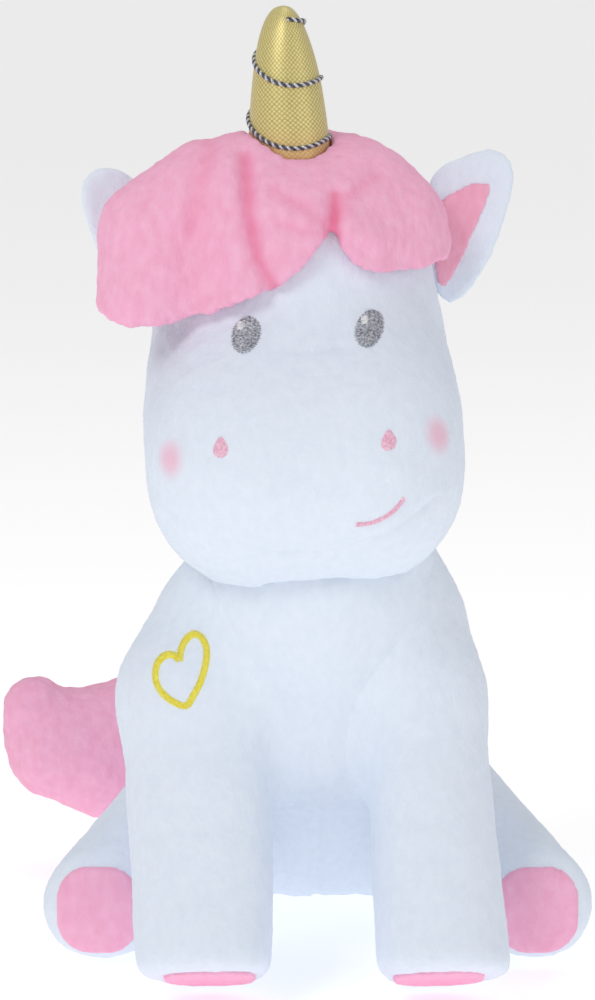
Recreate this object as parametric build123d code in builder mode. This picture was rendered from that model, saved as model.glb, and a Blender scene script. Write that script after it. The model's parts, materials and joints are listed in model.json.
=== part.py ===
from build123d import *
import os
from math import cos, radians, sin

# A plush unicorn that sits on its rump with its forelegs straight down in front.
# Millimetres. +Z is up, the toy looks along -Y, and its own left side is +X.
# The origin is the centre of the flat seat, on the surface that the toy sits on.

# ---- driving dimensions ----
pile_fabric = 1.5          # thickness of the pile fabric that every body part is sewn from
seam_gap = 0.5             # room between soft parts that move against each other
thread_relief = 0.8        # how far embroidery stands above the fabric
big = 400.0                # a length longer than the whole toy, for cutting tools

rump_radius = 37.0
seat_press = 3.0           # how far the rump's round underside is pressed flat
neck_reach = 80.0          # the neck's centre in front of the seat's centre
neck_height = 104.0
neck_radius = 31.0
pouch_radius = 27.0        # bag of beans low in the rump
pouch_rise = 25.0          # centre of the bag above the fabric under it

neck_gap = 1.4             # between the neck's dome and the cup under the head
neck_flare = 21.0          # degrees that the cup opens towards the back, for nods and turns
neck_thread_radius = 0.45
neck_thread_rise = 18.0    # the closing thread's ring from the neck's centre
neck_thread_lean = 20.0    # degrees, the ring's plane leans forward

head_roll = 2.5            # degrees, the crown leans to the toy's right
head_shift = -2.5          # the head sits a little to the toy's right of its neck
skull_back = 6.0           # axis of the skull behind the neck's centre
skull_high = 84.0
skull_high_out = 8.0
skull_high_radius = 26.0
skull_low = 50.0
skull_low_out = 1.5
skull_low_radius = 38.0
muzzle_front = 16.0        # axis of the muzzle in front of the neck's centre
muzzle_height = 34.0
muzzle_half_flat = 12.0
muzzle_core = 5.0
muzzle_round = 29.0

hair_depth = 6.0           # loft of the pink hair over the head
forelock_back = 4.0        # the forelock ends here behind the neck's centre, in front of the ears
flap_thickness = 8.0
flap_front = 16.0          # the free flap beside the forehead, in front of the neck's centre
flap_out = 51.0
flap_width = 17.0
flap_top = 100.0
flap_bottom = 71.0
mane_half_width = 22.0
mane_bottom = 22.0
horn_collar_flare = 7.5    # the socket opens this much wider towards its upper side

horn_front = 6.0           # horn's axis in front of the neck's centre
horn_sink = 9.0            # centre of the horn's rounded root below the crown
horn_root_radius = 10.4
horn_middle = 27.0         # above the root
horn_middle_radius = 8.4
horn_length = 45.0         # from the root's centre to the tip
horn_tip_radius = 3.4
lame = 0.9                 # thickness of the gold lamé
cord_radius = 0.9          # silver cord wound on the horn
cord_pitch = 15.0
cord_start = 10.5          # first turn above the root
cord_turns = 3
cord_slant = 12.0          # degrees

ear_back_of_neck = 11.0    # plane of the ears behind the neck's centre
ear_thickness = 7.0
ear_low_stand = 8.5        # each ear's stations stand out from the side of the skull
ear_low_height = 73.0
ear_low_radius = 4.0
ear_high_stand = 3.5
ear_high_height = 95.5
ear_high_radius = 5.0
ear_tip_stand = 16.0
ear_tip_height = 97.0
ear_tip_radius = 8.0
ear_rim_flat = 0.8         # left straight between the rounded edges of its rim
lining_margin = 3.0
lining_thickness = 1.0

eye_width = 8.0
eye_height = 10.0
eye_spread = 15.2          # each eye from the line midway between them
eye_level = 66.5
eye_offset = 2.7           # the face is sewn a little to the toy's left
nostril_width = 4.0
nostril_height = 5.0
nostril_spread = 20.4
nostril_level = 41.0
nostril_offset = 0.8
mouth_radius = 13.0
mouth_stitch = 1.6
mouth_out = 13.5
mouth_level = 33.5
mouth_start = -95.0        # degrees, the smile is an arc from here, anticlockwise
mouth_sweep = 62.0

shoulder_out = 28.0
shoulder_behind = 2.0      # behind the neck's centre
shoulder_drop = 16.0       # below the neck's centre
shoulder_radius = 20.0
foreleg_lean = 22.7        # degrees that the foreleg leans forward
foreleg_spread = 1.0       # degrees outward
forefoot_radius = 18.5
heel_clearance = 0.2       # the heel's edge above the surface that the toy sits on
foreleg_inner = 12.0       # the forelegs' flat inner sides, either side of the chest
foreleg_swing = 35.0       # degrees forward from rest
sole_thickness = 1.2

heart_width = 14.0
heart_height = 18.0
heart_line = 1.9
heart_point_radius = 2.2
heart_lobe_radius = 3.78
heart_outward = 5.0        # outside the shoulder's centre
heart_drop = 4.0           # below the shoulder's centre
heart_tilt = 10.0          # degrees, its point leans towards the toy's middle

hip_out = 30.0
hip_reach = 18.0
hip_lift = 3.0             # the thigh's underside above the surface that the toy sits on
hip_radius = 23.0
hindfoot_out = 56.5
hindfoot_reach = 70.0
hindfoot_lift = 1.2
hindfoot_radius = 15.0
hindsole_drop = 8.5
hindleg_splay = 22.0       # degrees outward from rest
hindleg_close = 5.0        # degrees inward

tail_off_middle = 5.0      # the tail is sewn on a little to the toy's right
tail_stand = 3.0           # its root's centre behind the rump's surface
tail_drop = 3.0            # and below the rump's centre
tail_root_radius = 7.0
tail_bend = (-31.0, 1.0, -3.0)      # stations from the root's centre
tail_bend_radius = 14.0
tail_belly = (-57.5, -7.5, 1.5)
tail_belly_radius = 16.5
tail_tip = (-73.5, -14.0, 15.5)
tail_tip_radius = 10.5

# ---- places worked out from the dimensions ----
rump_height = rump_radius - seat_press
rump_centre = Vector(0, 0, rump_height)
neck_centre = Vector(0, -neck_reach, neck_height)
head_up = Vector(-sin(radians(head_roll)), 0, cos(radians(head_roll)))
head_side = Vector(cos(radians(head_roll)), 0, sin(radians(head_roll)))
head_origin = neck_centre + Vector(head_shift, 0, 0)
head_front_plane = Plane(origin=head_origin, x_dir=head_side, z_dir=(0, -1, 0))
skull_side = skull_high_out + skull_high_radius
horn_root = skull_high + skull_high_radius - horn_sink
shoulder_reach = neck_reach - shoulder_behind
shoulder_height = neck_height - shoulder_drop
hip_height = hip_radius + hip_lift
hindfoot_height = hindfoot_radius + hindfoot_lift
tail_root = Vector(-tail_off_middle, rump_radius + tail_stand, rump_height - tail_drop)

os.makedirs("parts", exist_ok=True)


def save(part, name):
    """Label a finished piece and write its STEP file."""
    part.label = name
    export_step(part, f"parts/{name}.step")


def on_head(side, back, up):
    """A point in the head's own directions, measured from the neck's centre."""
    return head_origin + head_side * side + Vector(0, back, 0) + head_up * up


def ball_chain(start, end, start_radius, end_radius, seam=1):
    """The closed round form that is drawn tight over two balls.

    The turned surface closes along a line on one side of it, or with seam -1 on the other side.
    """
    direction = (Vector(*end) - Vector(*start)).normalized()
    across = direction.cross(Vector(0, 0, 1))
    if across.length < 0.01:
        across = Vector(0, 1, 0)
    length = (Vector(*end) - Vector(*start)).length
    with BuildPart() as form:
        with BuildSketch(Plane(origin=start, x_dir=direction, z_dir=across * seam)):
            Circle(start_radius)
            with Locations((length, 0)):
                Circle(end_radius)
            make_hull()
            Rectangle(big, big, align=(Align.CENTER, Align.MIN), mode=Mode.INTERSECT)
        revolve(axis=Axis(start, direction))
    return form.part


# ---- legs: closed forms that can be made smaller by an inset, or larger by a negative one ----
def foreleg_frame(side):
    """The shoulder, the centre of the sole's upper face and the direction of one foreleg."""
    lean = radians(foreleg_lean)
    spread = radians(foreleg_spread)
    shoulder = Vector(side * shoulder_out, -shoulder_reach, shoulder_height)
    along = Vector(side * sin(spread), -sin(lean) * cos(spread), -cos(lean) * cos(spread))
    heel_drop = forefoot_radius * (1 - along.Z**2) ** 0.5
    length = (shoulder_height - heel_clearance - heel_drop) / -along.Z - sole_thickness
    return shoulder, shoulder + along * length, along


def foreleg_form(side, inset=0.0):
    shoulder, toe, along = foreleg_frame(side)
    with BuildPart() as form:
        add(ball_chain(shoulder, toe, shoulder_radius - inset, forefoot_radius - inset))
        split(bisect_by=Plane(origin=toe - along * inset, z_dir=along), keep=Keep.BOTTOM)
        inner = Plane(origin=(side * (foreleg_inner + inset), 0, 0), z_dir=(side, 0, 0))
        split(bisect_by=inner, keep=Keep.TOP)
    return form.part


def hindleg_frame(side):
    """The hip and the foot's centre of one hind leg."""
    hip = Vector(side * hip_out, -hip_reach, hip_height)
    foot = Vector(side * hindfoot_out, -hindfoot_reach, hindfoot_height)
    return hip, foot


def hindleg_form(side, inset=0.0):
    hip, foot = hindleg_frame(side)
    with BuildPart() as form:
        add(ball_chain(hip, foot, hip_radius - inset, hindfoot_radius - inset))
        sole = Plane(origin=foot - Vector(0, hindsole_drop - inset, 0), z_dir=(0, -1, 0))
        split(bisect_by=sole, keep=Keep.BOTTOM)
    return form.part


def foreleg_room(side, inset):
    """What the torso leaves free for one foreleg over its whole swing."""
    shoulder, toe, along = foreleg_frame(side)
    room = shoulder_radius + thread_relief + seam_gap + inset
    down = Vector(along.Y, along.Z).normalized()
    behind = Vector(-down.Y, down.X)
    swing = radians(foreleg_swing)
    ahead = Vector(
        down.X * cos(swing) + down.Y * sin(swing),
        down.Y * cos(swing) - down.X * sin(swing),
    )
    above = Vector(ahead.Y, -ahead.X)
    pivot = Vector(shoulder.Y, shoulder.Z)
    inner = side * (foreleg_inner - seam_gap - inset)
    with BuildPart() as tool:
        with BuildSketch(Plane(origin=(inner, 0, 0), x_dir=(0, 1, 0), z_dir=(1, 0, 0))):
            with Locations((pivot.X, pivot.Y)):
                Circle(room)
            with BuildLine():
                Polyline(
                    pivot,
                    pivot + behind * room,
                    pivot + behind * room + down * big,
                    pivot + (down + ahead) * big,
                    pivot + above * room + ahead * big,
                    pivot + above * room,
                    close=True,
                )
            make_face()
        extrude(amount=side * big)
    return tool.part


def hindleg_room(side, inset):
    """What the torso leaves free for one hind leg over its whole swing."""
    hip, foot = hindleg_frame(side)
    grown = hindleg_form(side, -seam_gap - inset)
    turns = [-hindleg_close, 0, hindleg_splay / 2, hindleg_splay]
    with BuildPart() as tool:
        for turn in turns:
            add(grown.rotate(Axis(hip, (0, 0, 1)), side * turn))
    return tool.part


# ---- tail: a plump curl that lies to the toy's right ----
def tail_parts(inset=0.0):
    knots = [
        (tail_root, tail_root_radius),
        (tail_root + Vector(tail_bend), tail_bend_radius),
        (tail_root + Vector(tail_belly), tail_belly_radius),
        (tail_root + Vector(tail_tip), tail_tip_radius),
    ]
    return [
        ball_chain(start, end, start_radius - inset, end_radius - inset)
        for (start, start_radius), (end, end_radius) in zip(knots, knots[1:])
    ]


def tail_form(inset=0.0):
    with BuildPart() as form:
        for part in tail_parts(inset):
            add(part)
    return form.part


with BuildPart() as tail_fill:
    add(tail_form(pile_fabric))

with BuildPart() as tail_skin:
    add(tail_form())
    add(tail_fill.part, mode=Mode.SUBTRACT)

save(tail_skin.part, "tail_skin")
save(tail_fill.part, "tail_fill")


# ---- torso: the rump and the neck drawn into one pear, with room for the limbs ----
def torso_form(inset=0.0):
    with BuildPart() as form:
        add(ball_chain(rump_centre, neck_centre, rump_radius - inset, neck_radius - inset))
        split(bisect_by=Plane.XY.offset(inset), keep=Keep.TOP)
        for side in (-1, 1):
            add(foreleg_room(side, inset), mode=Mode.SUBTRACT)
            add(hindleg_room(side, inset), mode=Mode.SUBTRACT)
        for part in tail_parts(-seam_gap - inset):
            add(part, mode=Mode.SUBTRACT)
    return form.part


with BuildPart() as torso_core:
    add(torso_form(pile_fabric))

with BuildPart() as torso_skin:
    add(torso_form())
    add(torso_core.part, mode=Mode.SUBTRACT)

with BuildPart() as bean_pouch:
    with Locations((0, 0, pouch_rise + pile_fabric)):
        Sphere(pouch_radius)
    split(bisect_by=Plane.XY.offset(pile_fabric), keep=Keep.TOP)
    add(torso_core.part, mode=Mode.INTERSECT)

with BuildPart() as torso_fill:
    add(torso_core.part)
    add(bean_pouch.part, mode=Mode.SUBTRACT)

save(torso_skin.part, "torso_skin")
save(torso_fill.part, "torso_fill")
save(bean_pouch.part, "bean_pouch")

# ---- neck: the closing thread runs round the neck inside the cup of the head ----
with BuildPart() as neck_seam:
    thread_path = neck_radius + neck_gap / 2
    thread_ring = (thread_path**2 - neck_thread_rise**2) ** 0.5
    lean = radians(neck_thread_lean)
    thread_plane = Plane(origin=neck_centre, z_dir=(0, -sin(lean), cos(lean)))
    with Locations(thread_plane.offset(neck_thread_rise).location):
        Torus(thread_ring, neck_thread_radius)

save(neck_seam.part, "neck_seam")


# ---- head: a skull turned about its upright axis, and a muzzle turned about a level one ----
def head_form(inset=0.0):
    with BuildPart() as form:
        with BuildSketch(head_front_plane):
            for sign in (-1, 1):
                with Locations((sign * skull_high_out, skull_high)):
                    Circle(skull_high_radius - inset)
                with Locations((sign * skull_low_out, skull_low)):
                    Circle(skull_low_radius - inset)
            make_hull()
            Rectangle(big, big, align=(Align.MIN, Align.CENTER), mode=Mode.INTERSECT)
        revolve(axis=Axis(head_origin, head_up))
    skull = form.part.moved(Location((0, skull_back, 0)))
    with BuildPart() as muzzle:
        muzzle_plane = Plane(
            origin=on_head(0, -muzzle_front, muzzle_height), x_dir=head_side, z_dir=(0, -1, 0)
        )
        with BuildSketch(muzzle_plane):
            for along in (-muzzle_half_flat, muzzle_half_flat):
                for across in (-muzzle_core, muzzle_core):
                    with Locations((along, across)):
                        Circle(muzzle_round - inset)
            make_hull()
            Rectangle(big, big, align=(Align.CENTER, Align.MIN), mode=Mode.INTERSECT)
        revolve(axis=Axis(on_head(0, -muzzle_front, muzzle_height), head_side))
        add(skull)
    return muzzle.part


def horn_room(inset):
    """What the head leaves free round the horn's rounded root, flared towards its upper side."""
    root = on_head(0, -horn_front, horn_root)
    room = horn_root_radius + seam_gap + inset
    with BuildPart() as tool:
        with Locations(root):
            Sphere(room)
        with BuildSketch(Plane(origin=root, z_dir=head_up)):
            Circle(room)
        with BuildSketch(Plane(origin=root + head_up * 2 * horn_root_radius, z_dir=head_up)):
            Circle(room + horn_collar_flare)
        loft()
    return tool.part


def neck_room(inset=0.0):
    """What the head leaves free round the neck: a cup that flares along the torso."""
    cup = neck_radius + neck_gap + inset
    reach = (rump_centre - neck_centre).length / 2
    behind = neck_centre + (rump_centre - neck_centre) / 2
    return ball_chain(neck_centre, behind, cup, cup + reach * sin(radians(neck_flare)))


def head_cut(form, inset=0.0):
    """The head's form with its cup for the neck and its socket for the horn."""
    with BuildPart() as cut:
        add(form)
        add(neck_room(inset), mode=Mode.SUBTRACT)
        add(horn_room(inset), mode=Mode.SUBTRACT)
    return cut.part


head_outside = head_form()

with BuildPart() as head_fill:
    add(head_cut(head_form(pile_fabric), pile_fabric))

with BuildPart() as head_skin:
    add(head_cut(head_outside))
    add(head_fill.part, mode=Mode.SUBTRACT)

save(head_skin.part, "head_skin")
save(head_fill.part, "head_fill")

# ---- hair: a forelock over the brow with a free flap, and a mane down the back of the head ----
hair_outside = head_form(-hair_depth)

with BuildPart() as hair_shell:
    add(hair_outside)
    add(head_outside, mode=Mode.SUBTRACT)
    add(horn_room(0), mode=Mode.SUBTRACT)

hem = [
    (-mane_half_width * 2.5, 73),
    (-35, 70),
    (-20, 74),
    (-8, 79),
    (2, 84),
    (10, 92),
    (15, 84),
    (24, 80),
    (36, 82),
    (48, 88),
]

with BuildPart() as forelock_outline:
    with BuildSketch(head_front_plane.offset(-forelock_back)):
        with BuildLine():
            lower_edge = Polyline(*hem)
            Polyline(lower_edge @ 1, (hem[-1][0], big), (hem[0][0], big), lower_edge @ 0)
        make_face()
    extrude(amount=big)

with BuildPart() as forelock:
    add(hair_shell.part)
    add(forelock_outline.part, mode=Mode.INTERSECT)
    with BuildSketch(head_front_plane.offset(flap_front - flap_thickness)):
        with Locations((flap_width / 2 - flap_out, (flap_top + flap_bottom) / 2)):
            RectangleRounded(flap_width, flap_top - flap_bottom, flap_width / 3)
    extrude(amount=flap_thickness)
    add(head_outside, mode=Mode.SUBTRACT)

with BuildPart() as mane_band:
    with BuildSketch(head_front_plane.offset(-forelock_back)):
        Rectangle(2 * mane_half_width, big, align=(Align.CENTER, Align.MIN))
    extrude(amount=-big)
    split(bisect_by=Plane(origin=on_head(0, 0, mane_bottom), z_dir=head_up), keep=Keep.TOP)

with BuildPart() as mane:
    add(hair_shell.part)
    add(mane_band.part, mode=Mode.INTERSECT)
    add(neck_room(), mode=Mode.SUBTRACT)

save(forelock.part, "forelock")
save(mane.part, "mane")


# ---- horn: gold lamé over a firm filling, with a silver cord wound round it ----
def horn_form(inset=0.0):
    root = on_head(0, -horn_front, horn_root)
    with BuildPart() as form:
        with BuildSketch(Plane(origin=root, x_dir=head_up, z_dir=(0, -1, 0))):
            Circle(horn_root_radius - inset)
            with Locations((horn_middle, 0)):
                Circle(horn_middle_radius - inset)
            with Locations((horn_length - horn_tip_radius, 0)):
                Circle(horn_tip_radius - inset)
            make_hull()
            Rectangle(big, big, align=(Align.CENTER, Align.MIN), mode=Mode.INTERSECT)
        revolve(axis=Axis(root, head_up))
    return form.part


def horn_radius_at(height):
    """The horn's radius at a height above its root, along its straight sides."""
    if height < horn_middle:
        share = height / horn_middle
        return horn_root_radius + share * (horn_middle_radius - horn_root_radius)
    share = (height - horn_middle) / (horn_length - horn_tip_radius - horn_middle)
    return horn_middle_radius + share * (horn_tip_radius - horn_middle_radius)


horn_outside = horn_form()

with BuildPart() as horn_fill:
    add(horn_form(lame))

with BuildPart() as horn_skin:
    add(horn_outside)
    add(horn_fill.part, mode=Mode.SUBTRACT)

with BuildPart() as horn_cord:
    for turn in range(cord_turns):
        height = cord_start + turn * cord_pitch
        centre = on_head(0, -horn_front, horn_root + height)
        turn_plane = Plane(origin=centre, x_dir=head_side, z_dir=head_up)
        with Locations(turn_plane.rotated((0, cord_slant, 0)).location):
            Torus(horn_radius_at(height) + cord_radius / 2, cord_radius)
    add(horn_outside, mode=Mode.SUBTRACT)

save(horn_skin.part, "horn_skin")
save(horn_fill.part, "horn_fill")
save(horn_cord.part, "horn_cord")


# ---- ears: a padded leaf of white pile fabric with a pink lining on its front ----
def ear_outline(side, inset):
    for stand, height, radius in (
        (ear_low_stand, ear_low_height, ear_low_radius),
        (ear_high_stand, ear_high_height, ear_high_radius),
        (ear_tip_stand, ear_tip_height, ear_tip_radius),
    ):
        with Locations((side * (skull_side + stand), height)):
            Circle(radius - inset)
    make_hull()


for name, side in (("left", 1), ("right", -1)):
    ear_front = ear_back_of_neck - ear_thickness / 2
    with BuildPart() as ear_back:
        with BuildSketch(head_front_plane.offset(-ear_front)):
            ear_outline(side, 0)
        extrude(amount=-ear_thickness)
        fillet(ear_back.edges(), (ear_thickness - ear_rim_flat) / 2)

    with BuildPart() as ear_lining:
        with BuildSketch(head_front_plane.offset(-ear_front)):
            ear_outline(side, lining_margin)
        extrude(amount=lining_thickness)

    save(ear_back.part, f"{name}_ear_back")
    save(ear_lining.part, f"{name}_ear_lining")

# ---- face: embroidery that follows the curve of the head ----
with BuildPart() as face_layer:
    add(head_form(-thread_relief))
    add(head_outside, mode=Mode.SUBTRACT)
    split(bisect_by=Plane(origin=head_origin, z_dir=(0, -1, 0)), keep=Keep.TOP)


def embroidered_oval(width, height, side, level):
    with BuildPart() as oval:
        with BuildSketch(head_front_plane):
            with Locations((side, level)):
                Ellipse(width / 2, height / 2)
        extrude(amount=big)
        add(face_layer.part, mode=Mode.INTERSECT)
    return oval.part


for name, side in (("left", 1), ("right", -1)):
    eye = embroidered_oval(eye_width, eye_height, eye_offset + side * eye_spread, eye_level)
    save(eye, f"{name}_eye")
    nostril_side = nostril_offset + side * nostril_spread
    nostril = embroidered_oval(nostril_width, nostril_height, nostril_side, nostril_level)
    save(nostril, f"{name}_nostril")

with BuildPart() as mouth:
    with BuildSketch(head_front_plane):
        with BuildLine():
            CenterArc((mouth_out, mouth_level), mouth_radius, mouth_start, mouth_sweep)
        trace(line_width=mouth_stitch)
    extrude(amount=big)
    add(face_layer.part, mode=Mode.INTERSECT)

save(mouth.part, "mouth")

# ---- forelegs ----
for name, side in (("left", 1), ("right", -1)):
    shoulder, toe, along = foreleg_frame(side)
    with BuildPart() as foreleg_fill:
        add(foreleg_form(side, pile_fabric))

    with BuildPart() as foreleg_skin:
        add(foreleg_form(side))
        add(foreleg_fill.part, mode=Mode.SUBTRACT)

    with BuildPart() as foreleg_sole:
        add(ball_chain(shoulder, toe, shoulder_radius, forefoot_radius))
        sole_plane = Plane(origin=toe, z_dir=along)
        split(bisect_by=sole_plane, keep=Keep.TOP)
        split(bisect_by=sole_plane.offset(sole_thickness), keep=Keep.BOTTOM)
        inner = Plane(origin=(side * foreleg_inner, 0, 0), z_dir=(side, 0, 0))
        split(bisect_by=inner, keep=Keep.TOP)

    save(foreleg_skin.part, f"{name}_foreleg_skin")
    save(foreleg_fill.part, f"{name}_foreleg_fill")
    save(foreleg_sole.part, f"{name}_foreleg_sole")

# ---- heart: an embroidered outline on the toy's right foreleg ----
def heart_lobe(sign):
    """One rounded half of the heart, drawn down to the point that both halves share."""
    with BuildSketch() as half:
        lobe = (sign * (heart_width / 2 - heart_lobe_radius), heart_height / 2 - heart_lobe_radius)
        with Locations(lobe):
            Circle(heart_lobe_radius)
        with Locations((0, -heart_height / 2 + heart_point_radius)):
            Circle(heart_point_radius)
        make_hull()
    return half.sketch


with BuildPart() as thread_layer:
    shoulder, toe, along = foreleg_frame(-1)
    raised = (shoulder_radius + thread_relief, forefoot_radius + thread_relief)
    add(ball_chain(shoulder, toe, *raised, seam=-1))
    add(ball_chain(shoulder, toe, shoulder_radius, forefoot_radius, seam=-1), mode=Mode.SUBTRACT)

with BuildPart() as heart:
    heart_centre = (-shoulder_out - heart_outward, 0, shoulder_height - heart_drop)
    tilt = radians(heart_tilt)
    heart_plane = Plane(origin=heart_centre, x_dir=(cos(tilt), 0, sin(tilt)), z_dir=(0, -1, 0))
    with BuildSketch(heart_plane.offset(shoulder_reach)):
        add(heart_lobe(1))
        add(heart_lobe(-1))
        offset(amount=-heart_line, mode=Mode.SUBTRACT)
    extrude(amount=3 * shoulder_radius)
    add(thread_layer.part, mode=Mode.INTERSECT)

save(heart.part, "heart")

# ---- hind legs ----
for name, side in (("left", 1), ("right", -1)):
    hip, foot = hindleg_frame(side)
    with BuildPart() as hindleg_fill:
        add(hindleg_form(side, pile_fabric))

    with BuildPart() as hindleg_skin:
        add(hindleg_form(side))
        add(hindleg_fill.part, mode=Mode.SUBTRACT)

    with BuildPart() as hindleg_sole:
        add(ball_chain(hip, foot, hip_radius, hindfoot_radius))
        sole_plane = Plane(origin=foot - Vector(0, hindsole_drop, 0), z_dir=(0, -1, 0))
        split(bisect_by=sole_plane, keep=Keep.TOP)
        split(bisect_by=sole_plane.offset(sole_thickness), keep=Keep.BOTTOM)

    save(hindleg_skin.part, f"{name}_hindleg_skin")
    save(hindleg_fill.part, f"{name}_hindleg_fill")
    save(hindleg_sole.part, f"{name}_hindleg_sole")
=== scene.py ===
import json
import math

import bpy
import numpy as np
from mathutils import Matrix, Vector, noise
from mathutils.bvhtree import BVHTree


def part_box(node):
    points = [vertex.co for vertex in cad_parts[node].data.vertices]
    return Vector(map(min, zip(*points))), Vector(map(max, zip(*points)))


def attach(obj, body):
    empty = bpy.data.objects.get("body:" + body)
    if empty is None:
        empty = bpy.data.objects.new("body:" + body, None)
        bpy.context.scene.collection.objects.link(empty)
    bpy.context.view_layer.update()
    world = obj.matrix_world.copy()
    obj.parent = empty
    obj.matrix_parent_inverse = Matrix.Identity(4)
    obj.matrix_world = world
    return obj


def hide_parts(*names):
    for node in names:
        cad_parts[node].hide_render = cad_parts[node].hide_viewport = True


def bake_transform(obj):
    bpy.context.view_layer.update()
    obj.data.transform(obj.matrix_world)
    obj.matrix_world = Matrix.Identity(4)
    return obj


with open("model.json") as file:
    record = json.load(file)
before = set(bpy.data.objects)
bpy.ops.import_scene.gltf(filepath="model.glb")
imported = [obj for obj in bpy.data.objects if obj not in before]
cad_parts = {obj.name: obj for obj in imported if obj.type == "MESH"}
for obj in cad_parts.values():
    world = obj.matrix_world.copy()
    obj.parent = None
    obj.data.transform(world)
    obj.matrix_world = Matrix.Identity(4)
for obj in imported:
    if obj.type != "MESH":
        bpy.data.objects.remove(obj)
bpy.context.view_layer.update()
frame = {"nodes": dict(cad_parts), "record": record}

# A sitting plush unicorn. Shapes are worked out in millimetres, as fields whose zero surface is the
# cloth, and turned into meshes in metres. The toy looks along -Y and its own left side is +X.
MM = 0.001
SIDES = ((1, "left"), (-1, "right"))
SIDE_NAME = dict(SIDES)


# ---- places, from the frame
def pivot(joint):
    """A joint's place at rest, in millimetres."""
    for entry in frame["record"]["behaviour"]["joints"]:
        if entry["name"] == joint:
            return np.array(entry["pos_m"], float) / MM
    raise ValueError(joint)


def box(node):
    """A CAD node's lowest and highest corners, in millimetres."""
    low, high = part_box(node)
    return np.array(low) / MM, np.array(high) / MM


neck = pivot("head_nod")
horn_root = pivot("horn_flex")
side_axis = pivot("left_ear_fold") - pivot("right_ear_fold")
side_axis /= np.linalg.norm(side_axis)
back_axis = np.array([0.0, 1.0, 0.0])
up_axis = np.cross(side_axis, back_axis)
horn_rise = (horn_root[2] - neck[2]) / up_axis[2]
head_origin = horn_root - up_axis * horn_rise
head_origin[1] = neck[1]


def on_head(side, back, up):
    """A point given in the head's own directions, from the neck's centre."""
    return head_origin + side_axis * side + back_axis * back + up_axis * up


def head_parts(points):
    """Side, back and up of points, in the head's own directions."""
    away = points - head_origin
    return away @ side_axis, away @ back_axis, away @ up_axis


# ---- fields
def ball(points, centre, radius):
    return np.linalg.norm(points - np.asarray(centre, float), axis=1) - radius


def cone(points, start, end, start_radius, end_radius):
    """Distance to the round form drawn tight over two balls."""
    start, end = np.asarray(start, float), np.asarray(end, float)
    run = end - start
    run2 = run @ run
    drop = start_radius - end_radius
    slope2 = run2 - drop * drop
    away = points - start
    along = away @ run
    beyond = along - run2
    across = ((away * run2 - np.outer(along, run)) ** 2).sum(1)
    along2 = along * along * run2
    beyond2 = beyond * beyond * run2
    limit = np.sign(drop) * drop * drop * across
    result = (np.sqrt(across * slope2 / run2) + along * drop) / run2 - start_radius
    at_start = np.sign(along) * slope2 * along2 < limit
    result = np.where(at_start, np.sqrt(across + along2) / run2 - start_radius, result)
    at_end = np.sign(beyond) * slope2 * beyond2 > limit
    return np.where(at_end, np.sqrt(across + beyond2) / run2 - end_radius, result)


def join(a, b, soft):
    """Union of two fields with a soft valley."""
    share = np.maximum(soft - np.abs(a - b), 0) / soft
    return np.minimum(a, b) - share * share * soft / 4


def meet(a, b, soft):
    """Intersection of two fields with a soft edge."""
    return -join(-a, -b, soft)


def beyond_plane(points, origin, normal):
    return (points - np.asarray(origin, float)) @ np.asarray(normal, float)


def segment_distance(x, y, start, end):
    """Distance in a plane to a segment, and the share of the way along it."""
    run = (end[0] - start[0], end[1] - start[1])
    length2 = run[0] ** 2 + run[1] ** 2
    share = np.clip(((x - start[0]) * run[0] + (y - start[1]) * run[1]) / length2, 0, 1)
    return np.hypot(x - start[0] - share * run[0], y - start[1] - share * run[1]), share


def line_distance(x, y, points):
    """Distance in a plane to a line through several points."""
    nearest = np.full(len(x), 1e9)
    for start, end in zip(points, points[1:]):
        nearest = np.minimum(nearest, segment_distance(x, y, start, end)[0])
    return nearest


def outline_distance(x, y, points):
    """Signed distance in a plane to a closed outline, negative inside."""
    nearest = line_distance(x, y, points + points[:1])
    inside = np.zeros(len(x), bool)
    for (ax, ay), (bx, by) in zip(points, points[1:] + points[:1]):
        if ay == by:
            continue
        crosses = (ay > y) != (by > y)
        inside ^= crosses & (x < (bx - ax) * (y - ay) / (by - ay) + ax)
    return np.where(inside, -nearest, nearest)


def smooth_outline(points, steps=5):
    """A closed outline rounded by a Catmull-Rom curve through its points."""
    result = []
    count = len(points)
    for index in range(count):
        p0, p1, p2, p3 = (np.array(points[(index + k - 1) % count], float) for k in range(4))
        for step in range(steps):
            t = step / steps
            place = 0.5 * (
                2 * p1
                + (p2 - p0) * t
                + (2 * p0 - 5 * p1 + 4 * p2 - p3) * t * t
                + (3 * p1 - p0 - 3 * p2 + p3) * t ** 3
            )
            result.append((float(place[0]), float(place[1])))
    return result


def bump(distance, width):
    return np.exp(-((distance / width) ** 2))


def ramp(value, low, high):
    share = np.clip((value - low) / (high - low), 0, 1)
    return share * share * (3 - 2 * share)


# ---- meshes from fields
def gradient(field, points):
    reach = 0.05
    parts = []
    for axis in range(3):
        step = np.zeros(3)
        step[axis] = reach
        parts.append((field(points + step) - field(points - step)) / (2 * reach))
    return np.stack(parts, 1)


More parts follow.
